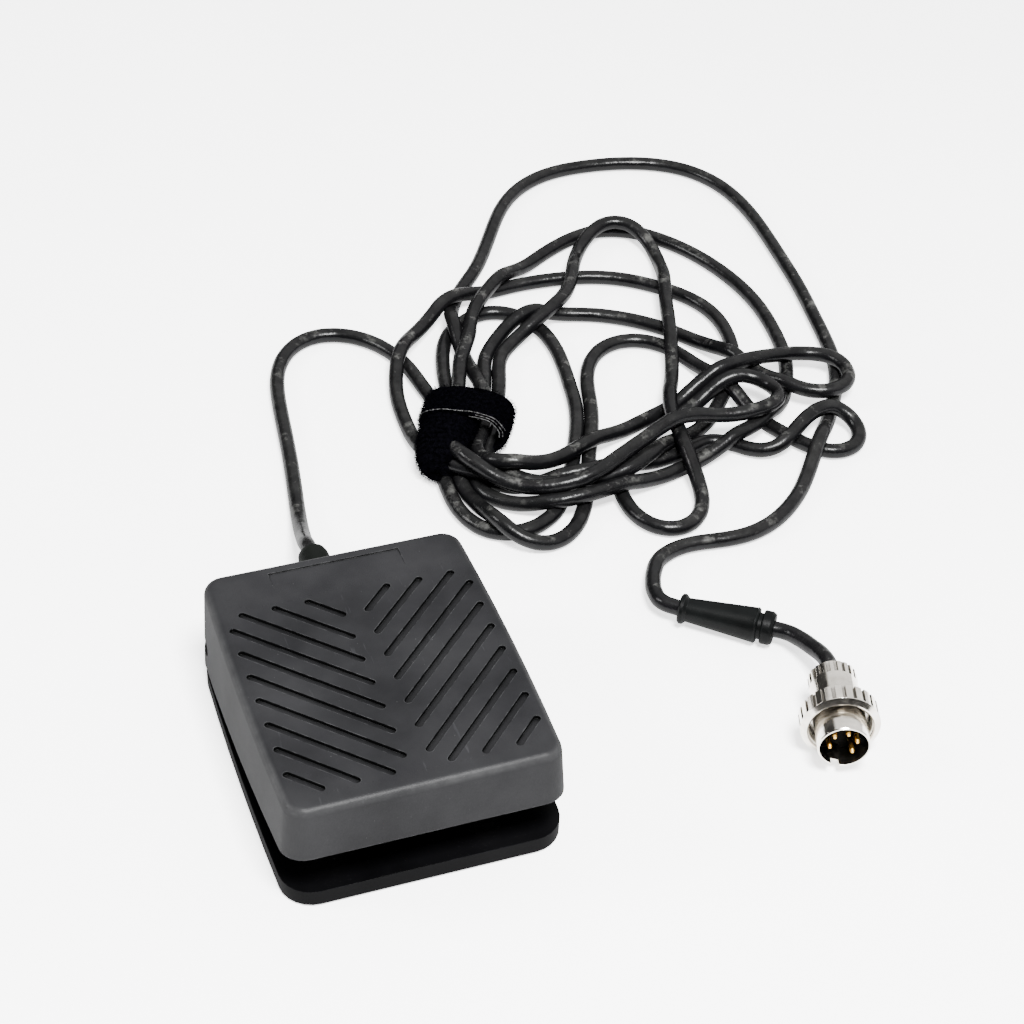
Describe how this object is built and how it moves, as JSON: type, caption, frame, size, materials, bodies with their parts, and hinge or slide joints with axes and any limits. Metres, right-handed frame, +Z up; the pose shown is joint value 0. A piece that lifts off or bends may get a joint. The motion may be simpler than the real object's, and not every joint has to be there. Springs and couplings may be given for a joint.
{
  "type": "foot switch",
  "caption": "Low foot switch with a hinged hollow pedal cover over a flat base plate, a lever-operated snap switch inside, and a long cord ending in a round screw-lock plug.",
  "frame": {"origin": "middle of the base plate, on the table that the rubber feet stand on", "axes": "+X to the right of the foot, +Y to the rear where the cord leaves, +Z up"},
  "size_m": [0.2282, 0.2909, 0.0318],
  "materials": {
    "cover_plastic": "fine moulded grain, satin charcoal black",
    "base_plastic": "smooth black moulding, slightly glossy",
    "foot_rubber": "matt black rubber",
    "spring_steel": "bright spring steel",
    "switch_plastic": "dark red phenolic",
    "switch_lid_plastic": "dark brown phenolic",
    "plunger_plastic": "ivory nylon",
    "terminal_tin": "tinned brass",
    "crimp_plastic": "red insulating sleeve",
    "core_insulation": "coloured core insulation",
    "zinc_steel": "zinc plated steel",
    "boot_rubber": "satin black moulded rubber",
    "cord_jacket": "satin black flexible jacket",
    "strap_fabric": "black hook-and-loop fabric",
    "sleeve_rubber": "satin black moulded rubber",
    "nickel": "bright nickel plating",
    "insert_plastic": "black insulating body",
    "gold": "gold plated contacts"
  },
  "bodies": {
    "base": {"base_plate": "base_plastic", "rubber_feet": "foot_rubber", "switch_case": "switch_plastic", "switch_lid": "switch_lid_plastic", "lever_pin": "spring_steel", "switch_terminals": "terminal_tin", "crimp_sleeves": "crimp_plastic", "core_wires": "core_insulation", "switch_screws": "zinc_steel", "switch_nuts": "zinc_steel", "cord_clamp": "base_plastic", "clamp_screws": "zinc_steel", "cord_boot": "boot_rubber", "cord_inner_end": "cord_jacket", "cord_lead_in": "cord_jacket", "cord_coil": "cord_jacket", "cord_strap": "strap_fabric", "cord_lead_out": "cord_jacket", "cord_sleeve": "sleeve_rubber", "cord_tail": "cord_jacket", "plug_back_shell": "nickel", "plug_contact_shell": "nickel", "plug_insert": "insert_plastic", "plug_contacts": "gold"},
    "cover": {"pedal_cover": "cover_plastic", "return_springs": "spring_steel"},
    "lever": {"switch_lever": "spring_steel"},
    "plunger": {"switch_plunger": "plunger_plastic"},
    "coupling_ring": {"plug_coupling_ring": "nickel"}
  },
  "joints": [
    {"name": "pedal_hinge", "type": "hinge", "parent": "base", "child": "cover", "pos_m": [0, 0.0365, 0.0131], "axis": [1, 0, 0], "range_deg": [0, 6.5], "stiffness_Nm_per_rad": 3, "springref_deg": -8.59, "deforming": ["return_springs"]},
    {"name": "lever_hinge", "type": "hinge", "parent": "base", "child": "lever", "pos_m": [0, 0.011, 0.022], "axis": [1, 0, 0], "range_deg": [0, 14.04]},
    {"name": "plunger_slide", "type": "slide", "parent": "base", "child": "plunger", "axis": [0, 0, -1], "range_m": [0, 0.00177]},
    {"name": "ring_turn", "type": "hinge", "parent": "base", "child": "coupling_ring", "pos_m": [0.11158, -0.03385, 0.0102], "axis": [-0.309, -0.9511, 0], "continuous": true}
  ],
  "couplings": [
    {"joint": "lever_hinge", "follows": "pedal_hinge", "ratio": 2.1591},
    {"joint": "plunger_slide", "follows": "pedal_hinge", "m_per_rad": 0.01542}
  ]
}
